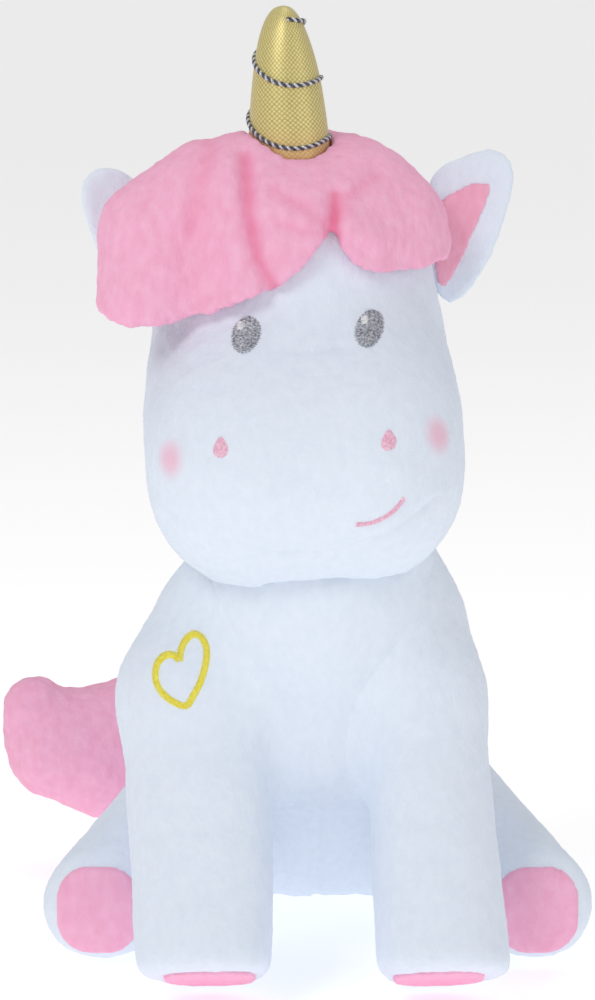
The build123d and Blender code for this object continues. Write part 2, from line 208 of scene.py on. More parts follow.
def surface_net(field, low, high, step):
    """Corners and quads of a field's zero surface inside a box."""
    axes = [np.arange(a - 2 * step, b + 3 * step, step) for a, b in zip(low, high)]
    shape = [len(axis) for axis in axes]
    grid = np.stack(np.meshgrid(*axes, indexing="ij"), -1).reshape(-1, 3)
    value = field(grid).reshape(shape)
    cells = [count - 1 for count in shape]
    total = np.zeros(cells + [3])
    hits = np.zeros(cells)
    edges = []
    for axis in range(3):
        first = [slice(None)] * 3
        second = [slice(None)] * 3
        first[axis] = slice(0, -1)
        second[axis] = slice(1, None)
        here, there = value[tuple(first)], value[tuple(second)]
        crossed = (here < 0) != (there < 0)
        where = np.argwhere(crossed)
        point = where.astype(float)
        point[:, axis] += here[crossed] / (here[crossed] - there[crossed])
        others = ((axis + 1) % 3, (axis + 2) % 3)
        ring = []
        for offset in ((0, 0), (-1, 0), (-1, -1), (0, -1)):
            cell = where.copy()
            cell[:, others[0]] += offset[0]
            cell[:, others[1]] += offset[1]
            np.add.at(total, tuple(cell.T), point)
            np.add.at(hits, tuple(cell.T), 1)
            ring.append(cell)
        edges.append((ring, here[crossed] < 0))
    used = hits > 0
    number = np.full(cells, -1)
    number[used] = np.arange(used.sum())
    corners = total[used] / hits[used][:, None] * step + np.array([axis[0] for axis in axes])
    quads = []
    for ring, outward in edges:
        quad = np.stack([number[tuple(cell.T)] for cell in ring], 1)
        quad[~outward] = quad[~outward][:, ::-1]
        quads.append(quad)
    return corners, np.concatenate(quads)


def settle(field, corners, quads, rounds=4):
    """Even out a mesh and bring it back to its field's zero surface."""
    edges = np.concatenate([quads[:, [k, (k + 1) % 4]] for k in range(4)])
    count = np.bincount(edges.ravel(), minlength=len(corners))[:, None]
    for _ in range(rounds):
        total = np.zeros_like(corners)
        np.add.at(total, edges[:, 0], corners[edges[:, 1]])
        np.add.at(total, edges[:, 1], corners[edges[:, 0]])
        corners = corners + 0.6 * (total / count - corners)
        slope = gradient(field, corners)
        size = np.maximum((slope ** 2).sum(1), 0.05)
        move = -field(corners)[:, None] * slope / size[:, None]
        corners = corners + np.clip(move, -1.0, 1.0)
    return corners


def new_piece(name, corners, faces):
    """A mesh object from corners in millimetres."""
    mesh = bpy.data.meshes.new(name)
    mesh.from_pydata((np.asarray(corners) * MM).tolist(), [], [list(map(int, f)) for f in faces])
    mesh.validate()
    mesh.shade_smooth()
    piece = bpy.data.objects.new(name, mesh)
    bpy.context.scene.collection.objects.link(piece)
    return piece


def cloth_form(name, field, low, high, step):
    corners, quads = surface_net(field, low, high, step)
    return new_piece(name, settle(field, corners, quads), quads)


def coordinates(piece):
    flat = np.empty(len(piece.data.vertices) * 3)
    piece.data.vertices.foreach_get("co", flat)
    return flat.reshape(-1, 3) / MM


def set_coordinates(piece, corners):
    piece.data.vertices.foreach_set("co", (corners * MM).ravel())
    piece.data.update()


def normals(piece):
    flat = np.empty(len(piece.data.vertices) * 3)
    piece.data.vertices.foreach_get("normal", flat)
    return flat.reshape(-1, 3)


def keep_result(piece):
    """Replace a piece's mesh by the result of its modifiers."""
    graph = bpy.context.evaluated_depsgraph_get()
    mesh = bpy.data.meshes.new_from_object(piece.evaluated_get(graph))
    piece.modifiers.clear()
    piece.data = mesh
    mesh.name = piece.name


def refine(piece):
    modifier = piece.modifiers.new("refine", "SUBSURF")
    modifier.levels = 1
    modifier.render_levels = 1
    keep_result(piece)
    piece.data.shade_smooth()


def pile(corners, size, stretch=(1, 1, 1)):
    """Two octaves of noise from about -1 to 1, for the tufts of a pile."""
    scaled = corners * np.asarray(stretch, float) / size
    fine = np.array([noise.noise(Vector(p)) for p in scaled])
    coarse = np.array([noise.noise(Vector(p)) for p in scaled * 0.37 + 7.3])
    return fine + 0.8 * coarse


def push(piece, amount):
    """Move each corner along its normal by an amount in millimetres."""
    set_coordinates(piece, coordinates(piece) + normals(piece) * amount[:, None])


# ---- padding by cloth simulation
puffed = []


def puff(piece, held, swell):
    """Let cloth pressure fill a piece. Held is how firmly each corner is kept, from 0 to 1."""
    group = piece.vertex_groups.new(name="held")
    for index, weight in enumerate(held):
        group.add([index], float(weight), "REPLACE")
    cloth = piece.modifiers.new("cloth", "CLOTH")
    settings = cloth.settings
    settings.quality = 5
    settings.mass = 0.2
    settings.tension_stiffness = 12
    settings.compression_stiffness = 6
    settings.shear_stiffness = 5
    settings.bending_stiffness = 0.4
    settings.vertex_group_mass = "held"
    settings.use_pressure = True
    settings.uniform_pressure_force = 4
    settings.effector_weights.gravity = 0
    cloth.collision_settings.use_collision = False
    puffed.append((piece, swell))


def run_cloth(frames=16):
    """Step every padded piece together, and cap how far its cloth may move."""
    for number in range(1, frames + 1):
        bpy.context.scene.frame_set(number)
    graph = bpy.context.evaluated_depsgraph_get()
    for piece, swell in puffed:
        rest = coordinates(piece)
        flat = np.empty(len(rest) * 3)
        piece.evaluated_get(graph).data.vertices.foreach_get("co", flat)
        move = flat.reshape(-1, 3) / MM - rest
        length = np.linalg.norm(move, axis=1)
        cap = swell * np.tanh(length / swell) / np.maximum(length, 1e-6)
        set_coordinates(piece, rest + move * cap[:, None])
    for piece, _ in puffed:
        piece.modifiers.clear()
        piece.vertex_groups.clear()
    bpy.context.scene.frame_set(1)


# ---- shapes of the toy
rump = np.array([0.0, 0.0, 34.0])
rump_radius = 37.0
neck_radius = 31.0
cloth_gap = 0.35           # a limb's cloth lies this far under the torso's where they run together


def torso_field(points):
    body = cone(points, rump, neck, rump_radius, neck_radius)
    chest = cone(points, (0, -74, 66), (0, -78, 92), 24.0, 24.0)
    body = join(body, chest, 14)
    return meet(body, 0.4 - points[:, 2], 13)


forefoot_radius = 18.3
foreleg_inner = {1: 12.6, -1: 9.2}
foreleg_reach = {1: 30.4, -1: -27.4}
foreleg_top = {1: ((20.8, -77.2, 90), 17.6), -1: ((-24.0, -77.2, 90), 19.0)}
foreleg_bulge = {1: ((24.6, -83.9, 74), 17.4), -1: ((-30.0, -83.9, 74), 20.3)}


def foreleg_line(side):
    """Shoulder, middle of the sole and the direction between them."""
    shoulder = pivot(f"{SIDE_NAME[side]}_foreleg_swing")
    low, high = box(f"{SIDE_NAME[side]}_foreleg_sole")
    toe = (low + high) / 2
    toe[0] = foreleg_reach[side]
    along = toe - shoulder
    return shoulder, toe, along / np.linalg.norm(along)


def foreleg_field(side, points):
    _, toe, along = foreleg_line(side)
    top, bulge = foreleg_top[side], foreleg_bulge[side]
    leg = cone(points, top[0], bulge[0], top[1], bulge[1])
    leg = join(leg, cone(points, bulge[0], toe, bulge[1], forefoot_radius), 6)
    leg = meet(leg, beyond_plane(points, toe + along * 0.6, along), 4.5)
    return meet(leg, foreleg_inner[side] - side * points[:, 0], 9)


def foreleg_cover(side, points):
    shoulder, toe, _ = foreleg_line(side)
    leg = join(foreleg_field(side, points), torso_field(points) + cloth_gap, 10)
    reach = cone(points, shoulder, toe, 26.5, forefoot_radius + 7)
    return meet(leg, reach, 2)


hip_radius = 23.0
hindfoot_radius = 15.4


def hindleg_line(side):
    """Hip and the middle of the foot's flat end."""
    hip = pivot(f"{SIDE_NAME[side]}_hindleg_splay")
    low, high = box(f"{SIDE_NAME[side]}_hindleg_sole")
    return hip, (low + high) / 2


def hindleg_field(side, points):
    hip, end = hindleg_line(side)
    foot = end + (0, 8.0, 0)
    leg = cone(points, hip, foot, hip_radius, hindfoot_radius)
    leg = meet(leg, end[1] - 0.4 - points[:, 1], 9)
    return meet(leg, 0.4 - points[:, 2], 5)


def hindleg_cover(side, points):
    hip, end = hindleg_line(side)
    leg = join(hindleg_field(side, points), torso_field(points) + cloth_gap, 10)
    reach = cone(points, hip, end, hip_radius + 6, hindfoot_radius + 6)
    return meet(leg, reach, 2)


def tail_field(points):
    root = pivot("tail_wag")
    stations = [
        (0, 0, 0, 8), (-31, 1, 0.5, 15.5), (-45, -3, 6.2, 17.4), (-57, -7.5, 3.4, 17.2),
        (-68, -11, 6.2, 14.4), (-75.5, -14, 17.6, 9.0),
    ]
    tail = np.full(len(points), 1e3)
    for (ax, ay, az, ar), (bx, by, bz, br) in zip(stations, stations[1:]):
        part = cone(points, root + (ax, ay, az), root + (bx, by, bz), ar, br)
        tail = join(tail, part, 5)
    x, z = points[:, 0] - root[0], points[:, 2] - root[2]
    return tail + 0.4 * np.sin(x * 0.34 + z * 0.08) * ramp(-z, -4, 10)


# ---- head
skull_back = 6.0
muzzle_front = 16.0
muzzle_level = 34.0


def head_solid(points):
    side, back, up = head_parts(points)
    ring = np.maximum(np.hypot(side, back - skull_back), 8.0)
    flat = np.stack([ring, np.zeros(len(ring)), up], 1)
    skull = cone(flat, (8, 0, 84), (1.5, 0, 50), 25.6, 37.4)
    reach = np.hypot(back + muzzle_front, up - muzzle_level)
    muzzle = np.hypot(np.maximum(np.abs(side - 0.6) - 11.2, 0), np.maximum(reach - 5, 0)) - 28.6
    return join(skull, muzzle, 10)


def neck_cup(points, clearance):
    middle = neck + (rump - neck) / 2
    reach = np.linalg.norm(middle - neck)
    flare = math.sin(math.radians(20))
    cup = neck_radius + clearance
    return cone(points, neck, middle, cup, cup + reach * flare)


horn_length = 44.6         # above its root
horn_wide = 10.5


def horn_radius(height):
    """The horn's radius at a height above its root."""
    share = np.clip(height / horn_length, 0, 0.9995)
    return horn_wide * (1 - share ** 1.75) ** 0.42


def horn_field(points, clearance):
    side, back, up = head_parts(points - back_axis * (horn_root[1] - head_origin[1]))
    height = up - horn_rise
    return np.hypot(side, back) - horn_radius(np.maximum(height, 0)) - clearance


def head_field(points):
    return meet(head_solid(points), -neck_cup(points, 0.6), 1.2)


# ---- hair
hair_thickness = 3.8
hair_lift = 2.8            # middle of the sheet above the head's cloth
hem_line = [
    (-60, 77), (-49.5, 72.2), (-43.6, 69.6), (-36, 69.0), (-28.5, 70.2), (-21, 72.0), (-14.5, 74.0),
    (-8, 76.4), (-3, 78.8), (1.5, 81.8), (5.5, 86.2), (9.6, 91.0), (11.6, 87.0), (14.4, 82.8),
    (18.4, 80.4), (23.5, 79.6), (29, 79.6), (35, 80.4), (39.6, 82.4), (41.0, 90), (44, 106), (40, 135),
    (-60, 135),
]
hem_outline = smooth_outline(hem_line, 4)


def chain(points, stations):
    form = np.full(len(points), 1e3)
    for (a, b) in zip(stations, stations[1:]):
        part = cone(points, on_head(*a[:3]), on_head(*b[:3]), a[3], b[3])
        form = np.minimum(form, part)
    return form


crease_lines = [
    ([(-11.0, 109), (-10.6, 96), (-8.8, 85), (-4.5, 77)], 2.0, 2.0),
    ([(-19.5, 112), (-22.5, 102), (-25, 92)], 0.9, 3.0),
    ([(-4, 101), (3, 96.5), (9.5, 91.5)], 0.9, 1.8),
    ([(-3, 93), (3, 91.2), (9, 90)], 0.7, 1.6),
    ([(10.6, 99), (10.4, 94), (10.0, 85)], 2.6, 1.9),
    ([(21, 103), (14.5, 99), (10.8, 94)], 0.9, 2.2),
]
ridge_lines = [
    ([(-15.0, 106), (-14.5, 92), (-13, 80), (-9, 74)], 1.5, 3.8),
    ([(14.2, 92.5), (18, 89.5), (23, 87)], 1.8, 3.6),
    ([(-1, 97.5), (4, 94.3)], 0.8, 2.4),
    ([(-27, 106), (-29, 92), (-29, 78)], 0.6, 3.6),
]


def hair_folds(side, up):
    """How far the hair's front is raised, with creases below zero."""
    fold = np.zeros(len(side))
    for line, depth, width in crease_lines:
        fold -= depth * bump(line_distance(side, up, line), width)
    for line, height, width in ridge_lines:
        fold += height * bump(line_distance(side, up, line), width)
    return fold


def painted_hair_shade(side, up):
    """From 0 to 1, how deep a place lies in the hair's creases, as the weight of the painted shade laid
    into them.
    """
    deep = np.zeros(len(side))
    for line, depth, width in crease_lines:
        deep += depth / 3 * bump(line_distance(side, up, line), width * 0.8)
    return np.clip(deep, 0, 1)


def hair_middle(points):
    """The middle of the hair's cloth over the brow, with its free flap at the toy's right."""
    side, back, up = head_parts(points)
    form = head_solid(points) - hair_lift
    wing = chain(points, [
        (-9, -8, 102, 12.6), (-19, -9, 99.2, 13.2), (-34.8, -12, 91, 12.0), (-36.4, -15, 74, 11.4),
    ])
    right = chain(points, [(16, -5, 96.0, 11.2), (25.0, -6, 89.0, 11.6), (26.4, -8, 76, 11.0)])
    closed = ramp(back, -4, 3)
    form = join(join(form, wing, 5), right, 6) * (1 - closed) + form * closed
    front = ramp(-back, -2, 8)
    dip = 2.6 * bump(np.hypot(side, back + 10), 15) * ramp(up, 98, 106)
    return join(form - hair_folds(side, up) * front + dip, head_solid(points) - 0.7, 1.5)


def forelock_field(points):
    side, back, up = head_parts(points)
    sheet = np.abs(hair_middle(points)) - hair_thickness / 2
    sheet = meet(sheet, outline_distance(side, up, hem_outline), 1.2)
    sheet = meet(sheet, back - 4.0, 1.6)
    sheet = meet(sheet, -head_solid(points) + 0.1, 0.4)
    return meet(sheet, -horn_field(points, 0.25), 1.0)


def mane_field(points):
    side, back, up = head_parts(points)
    waves = 0.7 * np.sin(side * 0.4 + 1.4 * np.sin(up * 0.1)) + 0.5 * np.sin(up * 0.16 + side * 0.2)
    middle = head_solid(points) - 2.0 - waves * 0.4
    sheet = np.abs(middle) - hair_thickness / 2
    half = 20.5 + 0.6 * np.sin(up * 0.15)
    sheet = meet(sheet, np.abs(side) - half, 2.0)
    hem = 29 + 1.6 * np.sin(side * 0.8) + 0.01 * side ** 2
    sheet = meet(sheet, hem - up, 2.0)
    sheet = meet(sheet, 4.4 - back, 1.6)
    sheet = meet(sheet, -head_solid(points) + 0.1, 0.4)
    sheet = meet(sheet, -neck_cup(points, 0.9), 1.0)
    return meet(sheet, -horn_field(points, 0.25), 1.0)


# ---- ears
ear_outline = {
    1: smooth_outline([(38, 68.5), (43.5, 70), (50, 79), (54.5, 90), (57, 100), (54.8, 105),
                       (50.8, 106.8), (44.4, 105.4), (36, 101), (33.5, 90), (34, 76)]),
    -1: smooth_outline([(-38, 68.5), (-43, 70.5), (-48, 79), (-51.6, 89), (-53.7, 98.4), (-52.6, 103.6),
                        (-48.4, 106.4), (-42, 105), (-37, 99), (-33.5, 90), (-34, 76)]),
}
lining_outline = {
    1: smooth_outline([(37, 71.5), (42, 78), (47, 88), (50.6, 96.5), (49.5, 98.8), (44, 97.7),
                       (37, 93), (35.5, 82)]),
    -1: smooth_outline([(-36.5, 73.5), (-40, 79), (-43, 87), (-44.6, 94.5), (-43.8, 97), (-40, 96.5),
                        (-36, 92), (-35, 82)]),
}
ear_back_plane = (box("left_ear_back")[0][1] + box("left_ear_back")[1][1]) / 2 - neck[1]


def ear_middle(side, up, sign):
    """How far behind the neck's centre the ear's middle lies: its front is cupped."""
    edge = np.minimum(outline_distance(side, up, ear_outline[sign]), 0)
    return ear_back_plane + 1.6 - 2.6 * np.exp(edge / 4.5), edge


def ear_field(sign, points):
    side, back, up = head_parts(points)
    middle, edge = ear_middle(side, up, sign)
    outside = outline_distance(side, up, ear_outline[sign])
    half = 1.7 + 1.5 * (1 - np.exp(edge / 4.0))
    return np.hypot(np.maximum(outside + half, 0), back - middle) - half


def lining_field(sign, points):
    side, back, up = head_parts(points)
    middle, edge = ear_middle(side, up, sign)
    half = 1.7 + 1.5 * (1 - np.exp(edge / 4.0))
    plate = np.abs(back - middle + half + 0.15) - 0.55
    return meet(plate, outline_distance(side, up, lining_outline[sign]), 0.5)


# ---- soles: patches that lie on the ends of the legs
def rounded_square(x, y, half_x, half_y, corner):
    over_x = np.maximum(np.abs(x) - half_x + corner, 0)
    over_y = np.maximum(np.abs(y) - half_y + corner, 0)
    return np.hypot(over_x, over_y) - corner


def hindsole_field(side, points):
    _, end = hindleg_line(side)
    plate = np.abs(hindleg_field(side, points) - 0.0) - 0.75
    patch = rounded_square(points[:, 0] - side * 57.0, points[:, 2] - end[2] + 0.2, 10.8, 11.6, 8.6)
    return meet(meet(plate, patch, 0.7), points[:, 1] - end[1] - 9, 0.5)


def foresole_field(side, points):
    _, toe, along = foreleg_line(side)
    away = points - toe
    depth = away @ along
    across = np.cross(along, (1.0, 0.0, 0.0))
    plate = np.abs(foreleg_field(side, points) - 0.0) - 0.75
    patch = rounded_square(away[:, 0], away @ across, 11.6, 11.8, 9.0)
    return meet(meet(plate, patch, 0.7), -depth - 6, 0.5)


# ---- fillings, a little inside the cloth
fill_inset = 2.2


def torso_fill_field(points):
    filled = torso_field(points) + fill_inset
    for side in (-1, 1):
        filled = meet(filled, 0.4 - foreleg_field(side, points), 1)
        filled = meet(filled, 0.4 - hindleg_field(side, points), 1)
    return meet(filled, 27.5 - ball(points, (0, 0, 26.5), 0), 1)


def head_fill_field(points):
    filled = meet(head_solid(points) + fill_inset, -neck_cup(points, 2.8), 2)
    return meet(filled, -ball(points, horn_root, 11.2), 1)


def pouch_field(points):
    return meet(ball(points, (0, 0, 26.5), 27.0), torso_field(points) + fill_inset, 3)


# ---- materials
def material(name, rough, sheen=0.0, sheen_rough=0.5, metallic=0.0):
    made = bpy.data.materials.new(name)
    made.use_nodes = True
    shader = made.node_tree.nodes["Principled BSDF"]
    shader.inputs["Roughness"].default_value = rough
    shader.inputs["Sheen Weight"].default_value = sheen
    shader.inputs["Sheen Roughness"].default_value = sheen_rough
    shader.inputs["Metallic"].default_value = metallic
    return made, made.node_tree, shader


def add_node(tree, kind, **values):
    node = tree.nodes.new(kind)
    for key, value in values.items():
        if hasattr(node, key):
            setattr(node, key, value)
        else:
            node.inputs[key.replace("_", " ")].default_value = value
    return node


def object_noise(tree, scale, detail=3.0, stretch=(1, 1, 1)):
    place = add_node(tree, "ShaderNodeTexCoord")
    spread = add_node(tree, "ShaderNodeMapping")
    spread.inputs["Scale"].default_value = stretch
    tree.links.new(place.outputs["Object"], spread.inputs["Vector"])
    made = add_node(tree, "ShaderNodeTexNoise", Scale=scale, Detail=detail)
    tree.links.new(spread.outputs["Vector"], made.inputs["Vector"])
    return made


def two_colours(tree, factor, first, second, low=0.35, high=0.65):
    mixed = add_node(tree, "ShaderNodeValToRGB")
    mixed.color_ramp.elements[0].position = low
    mixed.color_ramp.elements[0].color = (*first, 1)
    mixed.color_ramp.elements[1].position = high
    mixed.color_ramp.elements[1].color = (*second, 1)
    tree.links.new(factor, mixed.inputs["Fac"])
    return mixed.outputs["Color"]


def mix_in(tree, share, base, colour):
    """Lay a plain colour over another one, by a share from 0 to 1."""
    mixed = add_node(tree, "ShaderNodeMix", data_type="RGBA")
    mixed.inputs["B"].default_value = (*colour, 1)
    tree.links.new(share, mixed.inputs["Factor"])
    tree.links.new(base, mixed.inputs["A"])
    return mixed.outputs["Result"]


def fade_out(tree, value, low, high, most, kind="LINEAR"):
    """A share that falls from most to nothing as a value goes from low to high."""
    fade = add_node(tree, "ShaderNodeMapRange", interpolation_type=kind,
                    From_Min=low, From_Max=high, To_Min=most, To_Max=0.0)
    tree.links.new(value, fade.inputs["Value"])
    return fade.outputs["Result"]


def add_bump(tree, shader, height, strength, distance):
    raised = add_node(tree, "ShaderNodeBump", Strength=strength, Distance=distance)
    tree.links.new(height, raised.inputs["Height"])
    tree.links.new(raised.outputs["Normal"], shader.inputs["Normal"])


def plush(name, deep, light, spots=(), spot_colour=(1, 1, 1), painted_crease_shade=None):
    """Short pile: mottled by the lie of its tufts, with a soft sheen."""
    made, tree, shader = material(name, 0.92, sheen=0.25, sheen_rough=0.5)
    shader.inputs["Sheen Tint"].default_value = (*light, 1)
    lie = object_noise(tree, 420, 5.0, (1, 1, 0.6))
    colour = two_colours(tree, lie.outputs["Fac"], deep, light, 0.25, 0.75)
    for centre, radius in spots:
        place = add_node(tree, "ShaderNodeTexCoord")
        away = add_node(tree, "ShaderNodeVectorMath", operation="DISTANCE")
        away.inputs[1].default_value = centre
        tree.links.new(place.outputs["Object"], away.inputs[0])
        share = fade_out(tree, away.outputs["Value"], radius * 0.05, radius, 0.7, "SMOOTHERSTEP")
        colour = mix_in(tree, share, colour, spot_colour)
    # Painted shade: a darker colour mixed in by a point attribute where creases lie.
    if painted_crease_shade:
        shade = add_node(tree, "ShaderNodeAttribute", attribute_name="painted_crease_shade")
        colour = mix_in(tree, shade.outputs["Fac"], colour, painted_crease_shade)
    tree.links.new(colour, shader.inputs["Base Color"])
    tufts = object_noise(tree, 1100, 4.0, (1, 1, 0.6))
    add_bump(tree, shader, tufts.outputs["Fac"], 0.4, 0.0006)
    return made


def thread(name, deep, light, metallic=0.0, rough=0.45):
    made, tree, shader = material(name, rough, sheen=0.2, metallic=metallic)
    twist = object_noise(tree, 1800, 2.0)
    tree.links.new(two_colours(tree, twist.outputs["Fac"], deep, light), shader.inputs["Base Color"])
    add_bump(tree, shader, twist.outputs["Fac"], 0.3, 0.0002)
    return made


def lame():
    """Woven gold: rows of bright dots over a duller ground, with painted orange reflection and shade of the
    pink hair low on the horn, where it dips into the hair.
    """
    made, tree, shader = material("gold_lame_cloth", 0.42, sheen=0.2, metallic=0.35)
    uv = add_node(tree, "ShaderNodeUVMap")
    dots = add_node(tree, "ShaderNodeTexVoronoi", Scale=1.0, Randomness=0.12)
    tree.links.new(uv.outputs["UV"], dots.inputs["Vector"])
    ground = two_colours(tree, dots.outputs["Distance"], (0.88, 0.78, 0.34), (0.44, 0.34, 0.10), 0.12, 0.66)
    # Painted reflection and shade: the horn's lowest part is tinted orange as if by the pink hair around
    # it.
    place = add_node(tree, "ShaderNodeTexCoord")
    parts = add_node(tree, "ShaderNodeSeparateXYZ")
    tree.links.new(place.outputs["Object"], parts.inputs["Vector"])
    base = (horn_root[2] + 6.0) * MM
    dip = fade_out(tree, parts.outputs["Z"], base, base + 0.009, 0.75)
    colour = mix_in(tree, dip, ground, (0.80, 0.42, 0.20))
    tree.links.new(colour, shader.inputs["Base Color"])
    add_bump(tree, shader, dots.outputs["Distance"], -0.5, 0.0004)
    return made


WHITE_DEEP = (0.77, 0.84, 0.95)
WHITE_LIGHT = (0.82, 0.885, 0.985)
PINK_DEEP = (0.92, 0.41, 0.60)
PINK_LIGHT = (0.97, 0.51, 0.70)
cheek_colour = (0.93, 0.45, 0.60)
cheek_places = [(-36.6, 140.2), (29.4, 146.0)]
cheek_radius = 7.2

white_plush = plush("white_pile", WHITE_DEEP, WHITE_LIGHT)
pink_plush = plush("pink_pile", PINK_DEEP, PINK_LIGHT)
# The hair's darker crease colour is painted shade in its folds.
hair_plush = plush("pink_hair_pile", PINK_DEEP, PINK_LIGHT, painted_crease_shade=(0.86, 0.22, 0.38))
pink_lining = plush("pink_lining_pile", (0.88, 0.38, 0.52), (0.95, 0.48, 0.63))
stuffing = plush("loose_fibre", (0.82, 0.82, 0.80), (0.92, 0.92, 0.90))
bean_cloth = plush("bean_pouch_cotton", (0.72, 0.70, 0.64), (0.84, 0.82, 0.76))
silver_thread = thread("silver_embroidery", (0.20, 0.215, 0.25), (0.66, 0.68, 0.74), 0.35, 0.36)
glint_thread = thread("white_embroidery", (0.75, 0.77, 0.80), (0.95, 0.95, 0.96))
pink_thread = thread("pink_embroidery", (0.86, 0.42, 0.58), (0.95, 0.66, 0.78))
yellow_thread = thread("yellow_embroidery", (0.84, 0.68, 0.03), (0.93, 0.88, 0.13))
white_thread = thread("white_sewing_thread", (0.75, 0.78, 0.82), (0.9, 0.92, 0.95))
silver_ply = thread("silver_ply", (0.42, 0.42, 0.46), (0.75, 0.75, 0.80), 0.5, 0.3)
dark_ply = thread("dark_ply", (0.03, 0.03, 0.04), (0.12, 0.12, 0.14), 0.3, 0.4)
gold_cloth = lame()


def dress(piece, finish, body=None):
    """Give a piece its finish and its slot, and let it ride on a body if one is named."""
    piece.data.materials.clear()
    piece.data.materials.append(finish)
    if body:
        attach(piece, body)


# ---- making the soft pieces
def bounds_of(*nodes, grow=8.0):
    lows, highs = zip(*(box(node) for node in nodes))
    return np.min(lows, axis=0) - grow, np.max(highs, axis=0) + grow


torso = cloth_form("torso_cover", torso_field, *bounds_of("torso_skin"), 2.6)
points = coordinates(torso)
puff(torso, np.clip(
    bump(points[:, 0], 2.5)
    + ramp(-torso_field(points + (0, 0, -6)), 3, 0)
    + ramp(points[:, 2], 92, 104)
    + ramp(-points[:, 2], -8, -2), 0, 1), 0.9)

head = cloth_form("head_cover", head_field, *bounds_of("head_skin", grow=5), 2.4)
points = coordinates(head)
side, back, up = head_parts(points)
puff(head, np.clip(
    ramp(-neck_cup(points, 0), -4, -1)
    + bump(side, 1.5) * 0.5 + ramp(up, 96, 104), 0, 1), 0.8)

legs = {}
for sign, name in SIDES:
    cover = lambda p, s=sign: foreleg_cover(s, p)
    low, high = bounds_of(f"{name}_foreleg_skin", f"{name}_foreleg_sole")
    leg = cloth_form(f"{name}_foreleg_cover", cover, low, high, 2.4)
    points = coordinates(leg)
    shoulder, toe, along = foreleg_line(sign)
    near = ramp(-torso_field(points), -9, -3)
    ends = ramp((points - toe) @ along, -5, -1)
    puff(leg, np.clip(near + ends, 0, 1), 0.8)
    legs[name, "foreleg"] = leg

    cover = lambda p, s=sign: hindleg_cover(s, p)
    low, high = bounds_of(f"{name}_hindleg_skin", f"{name}_hindleg_sole")
    leg = cloth_form(f"{name}_hindleg_cover", cover, low, high, 2.4)
    points = coordinates(leg)
    near = ramp(-torso_field(points), -9, -3)
    ends = ramp(-points[:, 1], 70, 75)
    puff(leg, np.clip(near + ends + ramp(-points[:, 2], -6, -2), 0, 1), 0.8)
    legs[name, "hindleg"] = leg

tail = cloth_form("tail_cover", tail_field, *bounds_of("tail_skin"), 2.4)
points = coordinates(tail)
root = ramp(-ball(points, pivot("tail_wag"), 18), -4, 4)
puff(tail, np.clip(root + bump(points[:, 1] - 30, 1.5), 0, 1), 1.0)

run_cloth()

# ---- relief of the pile, and seams sewn after the padding
refine(torso)
points = coordinates(torso)
front = ramp(-normals(torso)[:, 1], 0.1, 0.5)
seam = -0.8 * bump(points[:, 0], 0.9) * (1 - ramp(points[:, 2], 60, 84))
push(torso, seam + 0.20 * pile(points, 1.7) + 0.35 * pile(points, 9.0))

refine(head)
points = coordinates(head)
side, back, up = head_parts(points)
face = ramp(-back, 0, 8)
bridge = -0.45 * bump(up - 62.6, 0.8) * bump(side - 5.5, 9) * face
chin_line = [(-32, 24), (-22, 17.5), (-8, 13.8), (6, 13.8), (22, 18), (32, 25)]
chin = -0.55 * bump(line_distance(side, up, chin_line), 0.9)
push(head, bridge + chin * face + 0.18 * pile(points, 1.6) + 0.25 * pile(points, 8.0))



def tree_of(piece):
    corners = [tuple(c) for c in coordinates(piece)]
    return BVHTree.FromPolygons(corners, [tuple(p.vertices) for p in piece.data.polygons])


def laid(tree, x, z, lift):
    """The point of the cloth that is met from the front at this place, raised a little."""
    hit = tree.ray_cast(Vector((x, -400.0, z)), Vector((0, 1, 0)))
    if hit[0] is None:
        return None
    return np.array(hit[0]) + np.array(hit[1]) * lift


head_tree = tree_of(head)
face_plush = plush(
    "face_pile", WHITE_DEEP, WHITE_LIGHT,
    [(tuple(laid(head_tree, x, z, 0) * MM), cheek_radius * MM) for x, z in cheek_places], cheek_colour,
)

for (name, kind), leg in legs.items():
    refine(leg)
    points = coordinates(leg)
    push(leg, 0.18 * pile(points, 1.6) + 0.3 * pile(points, 9.0))

refine(tail)
points = coordinates(tail)
push(tail, 0.45 * pile(points, 2.4, (0.7, 1, 1)) + 0.6 * pile(points, 9.0))

low, high = bounds_of("forelock", "horn_skin", grow=6)
forelock = cloth_form("forelock_cover", forelock_field, low, high - (0, 0, 22), 1.5)
refine(forelock)
points = coordinates(forelock)
side, back, up = head_parts(points)
fringe = 1 + 1.3 * ramp(outline_distance(side, up, hem_outline), -4.5, -0.5)
push(forelock, 0.26 * fringe * pile(points, 1.7, (1, 1, 0.6)) + 0.3 * pile(points, 6.0))
# Painted shade: how dark each point of the hair is coloured, deepest in the creases at its front.
shade = forelock.data.attributes.new("painted_crease_shade", "FLOAT", "POINT")
shade.data.foreach_set("value", painted_hair_shade(side, up) * ramp(-back, -2, 8))

mane = cloth_form("mane_cover", mane_field, *bounds_of("mane", grow=4), 1.6)
refine(mane)
points = coordinates(mane)
push(mane, 0.30 * pile(points, 1.9, (1, 1, 0.6)) + 0.35 * pile(points, 6.0))

dress(torso, white_plush, "torso")
dress(head, face_plush, "head")
dress(tail, pink_plush, "tail")
dress(forelock, hair_plush, "head")
dress(mane, pink_plush, "head")
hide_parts("torso_skin")
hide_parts("head_skin")
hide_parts("tail_skin")
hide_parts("forelock")
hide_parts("mane")
for (name, kind), leg in legs.items():
    dress(leg, white_plush)
    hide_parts(f"{name}_{kind}_skin")

